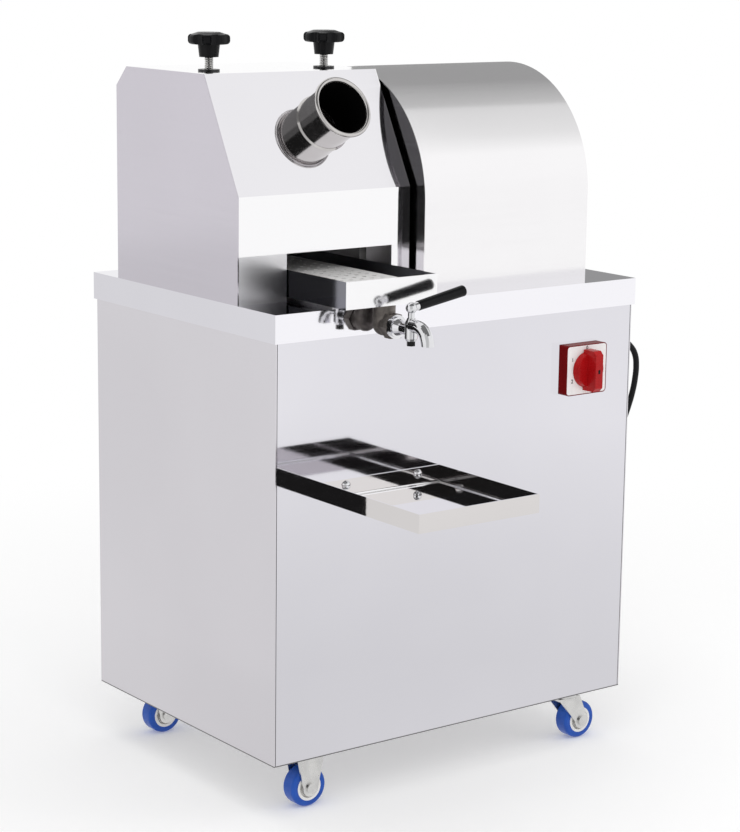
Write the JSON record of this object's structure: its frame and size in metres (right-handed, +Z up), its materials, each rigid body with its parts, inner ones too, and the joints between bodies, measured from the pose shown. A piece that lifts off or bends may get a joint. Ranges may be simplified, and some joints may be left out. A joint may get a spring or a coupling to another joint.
{
  "type": "electric sugarcane juicer",
  "caption": "Wheeled stainless cabinet with a roller mill under a slanted hood, feed tube, arched motor cover, pull-out juice tray with tap, cup shelf and rotary switch.",
  "frame": {"origin": "on the floor under the middle of the outline from the cup shelf's front to the waste chute's end", "axes": "+Z up, the front with cup shelf and switch faces -Y, the motor cover is at +X"},
  "size_m": [0.6314, 0.7161, 0.9294],
  "materials": {
    "sheet": "polished stainless sheet",
    "tube": "polished stainless tube",
    "mill": "machined steel",
    "zinc": "zinc plated",
    "cast": "rough casting",
    "chrome": "bright chrome plate",
    "black": "black moulded plastic",
    "red": "red moulded plastic",
    "white": "white moulded plastic",
    "tread": "blue polyurethane",
    "paint": "grey paint",
    "jacket": "black cord jacket"
  },
  "bodies": {
    "cabinet": {"top_pan": "sheet", "front_panel": "sheet", "left_side_panel": "sheet", "right_side_panel": "sheet", "rear_panel": "sheet", "base_plate": "sheet", "rigid_forks": "zinc", "swivel_plates": "zinc", "hood_face": "sheet", "hood_top": "sheet", "hood_left_side": "sheet", "hood_right_side": "sheet", "feed_tube": "tube", "bagasse_chute": "sheet", "motor_cover": "sheet", "cover_left_end": "sheet", "cover_right_end": "sheet", "gearmotor": "paint", "frame_plates": "mill", "tie_bars": "mill", "bearing_blocks": "cast", "washers": "chrome", "tray_runners": "zinc", "cup_shelf": "sheet", "shelf_bolts": "chrome", "switch_box": "red", "switch_face": "white", "cable_gland": "black", "cord": "jacket", "cord_coil": "jacket", "plug": "black"},
    "wheel_front_left": {"tyre_front_left": "tread", "hub_front_left": "white"},
    "wheel_rear_left": {"tyre_rear_left": "tread", "hub_rear_left": "white"},
    "wheel_front_right": {"tyre_front_right": "tread", "hub_front_right": "white"},
    "wheel_rear_right": {"tyre_rear_right": "tread", "hub_rear_right": "white"},
    "fork_front": {"swivel_fork_front": "zinc"},
    "fork_rear": {"swivel_fork_rear": "zinc"},
    "upper_mill": {"upper_roller": "mill", "upper_gear": "mill"},
    "front_mill": {"front_roller": "mill", "front_gear": "mill"},
    "rear_mill": {"rear_roller": "mill", "rear_gear": "mill"},
    "left_thrust": {"left_pad": "cast"},
    "right_thrust": {"right_pad": "cast"},
    "left_handle": {"left_knob": "black", "left_screw": "zinc"},
    "right_handle": {"right_knob": "black", "right_screw": "zinc"},
    "tray": {"juice_tray": "sheet", "strainer": "sheet", "outlet_elbow": "cast", "tap_body": "chrome"},
    "lever": {"tap_lever": "chrome", "lever_grip": "black"},
    "dial": {"switch_knob": "red"}
  },
  "joints": [
    {"name": "wheel_front_left_spin", "type": "hinge", "parent": "cabinet", "child": "wheel_front_left", "pos_m": [-0.207, -0.083, 0.025], "axis": [0, 1, 0], "continuous": true},
    {"name": "fork_front_swivel", "type": "hinge", "parent": "cabinet", "child": "fork_front", "pos_m": [0.212, -0.083, 0.06], "axis": [0, 0, 1], "continuous": true},
    {"name": "wheel_front_right_spin", "type": "hinge", "parent": "fork_front", "child": "wheel_front_right", "pos_m": [0.234, -0.083, 0.025], "axis": [0, 1, 0], "continuous": true},
    {"name": "wheel_rear_left_spin", "type": "hinge", "parent": "cabinet", "child": "wheel_rear_left", "pos_m": [-0.207, 0.247, 0.025], "axis": [0, 1, 0], "continuous": true},
    {"name": "fork_rear_swivel", "type": "hinge", "parent": "cabinet", "child": "fork_rear", "pos_m": [0.212, 0.247, 0.06], "axis": [0, 0, 1], "continuous": true},
    {"name": "wheel_rear_right_spin", "type": "hinge", "parent": "fork_rear", "child": "wheel_rear_right", "pos_m": [0.234, 0.247, 0.025], "axis": [0, 1, 0], "continuous": true},
    {"name": "upper_spin", "type": "hinge", "parent": "cabinet", "child": "upper_mill", "pos_m": [-0.154, 0.08, 0.7835], "axis": [1, 0, 0], "continuous": true},
    {"name": "front_spin", "type": "hinge", "parent": "cabinet", "child": "front_mill", "pos_m": [-0.154, 0.034, 0.71805], "axis": [1, 0, 0], "continuous": true},
    {"name": "rear_spin", "type": "hinge", "parent": "cabinet", "child": "rear_mill", "pos_m": [-0.154, 0.126, 0.71805], "axis": [1, 0, 0], "continuous": true},
    {"name": "left_press", "type": "slide", "parent": "cabinet", "child": "left_thrust", "axis": [0, 0, 1], "range_m": [0, 0.006]},
    {"name": "left_turn", "type": "hinge", "parent": "left_thrust", "child": "left_handle", "pos_m": [-0.2385, 0.08, 0.898], "axis": [0, 0, 1], "range_deg": [0, 1081]},
    {"name": "right_press", "type": "slide", "parent": "cabinet", "child": "right_thrust", "axis": [0, 0, 1], "range_m": [0, 0.006]},
    {"name": "right_turn", "type": "hinge", "parent": "right_thrust", "child": "right_handle", "pos_m": [-0.0695, 0.08, 0.898], "axis": [0, 0, 1], "range_deg": [0, 1081]},
    {"name": "tray_slide", "type": "slide", "parent": "cabinet", "child": "tray", "axis": [0, -1, 0], "range_m": [0, 0.2]},
    {"name": "lever_turn", "type": "hinge", "parent": "tray", "child": "lever", "pos_m": [-0.138, -0.193, 0.618], "axis": [0, 0, 1], "range_deg": [-90, 0]},
    {"name": "dial_turn", "type": "hinge", "parent": "cabinet", "child": "dial", "pos_m": [0.1895, -0.12, 0.51], "axis": [0, 1, 0], "range_deg": [-120, 0]}
  ],
  "couplings": [
    {"joint": "front_spin", "follows": "upper_spin", "ratio": -1},
    {"joint": "rear_spin", "follows": "upper_spin", "ratio": -1},
    {"joint": "left_turn", "follows": "left_press", "rad_per_m": 3141.6},
    {"joint": "right_turn", "follows": "right_press", "rad_per_m": 3141.6}
  ]
}
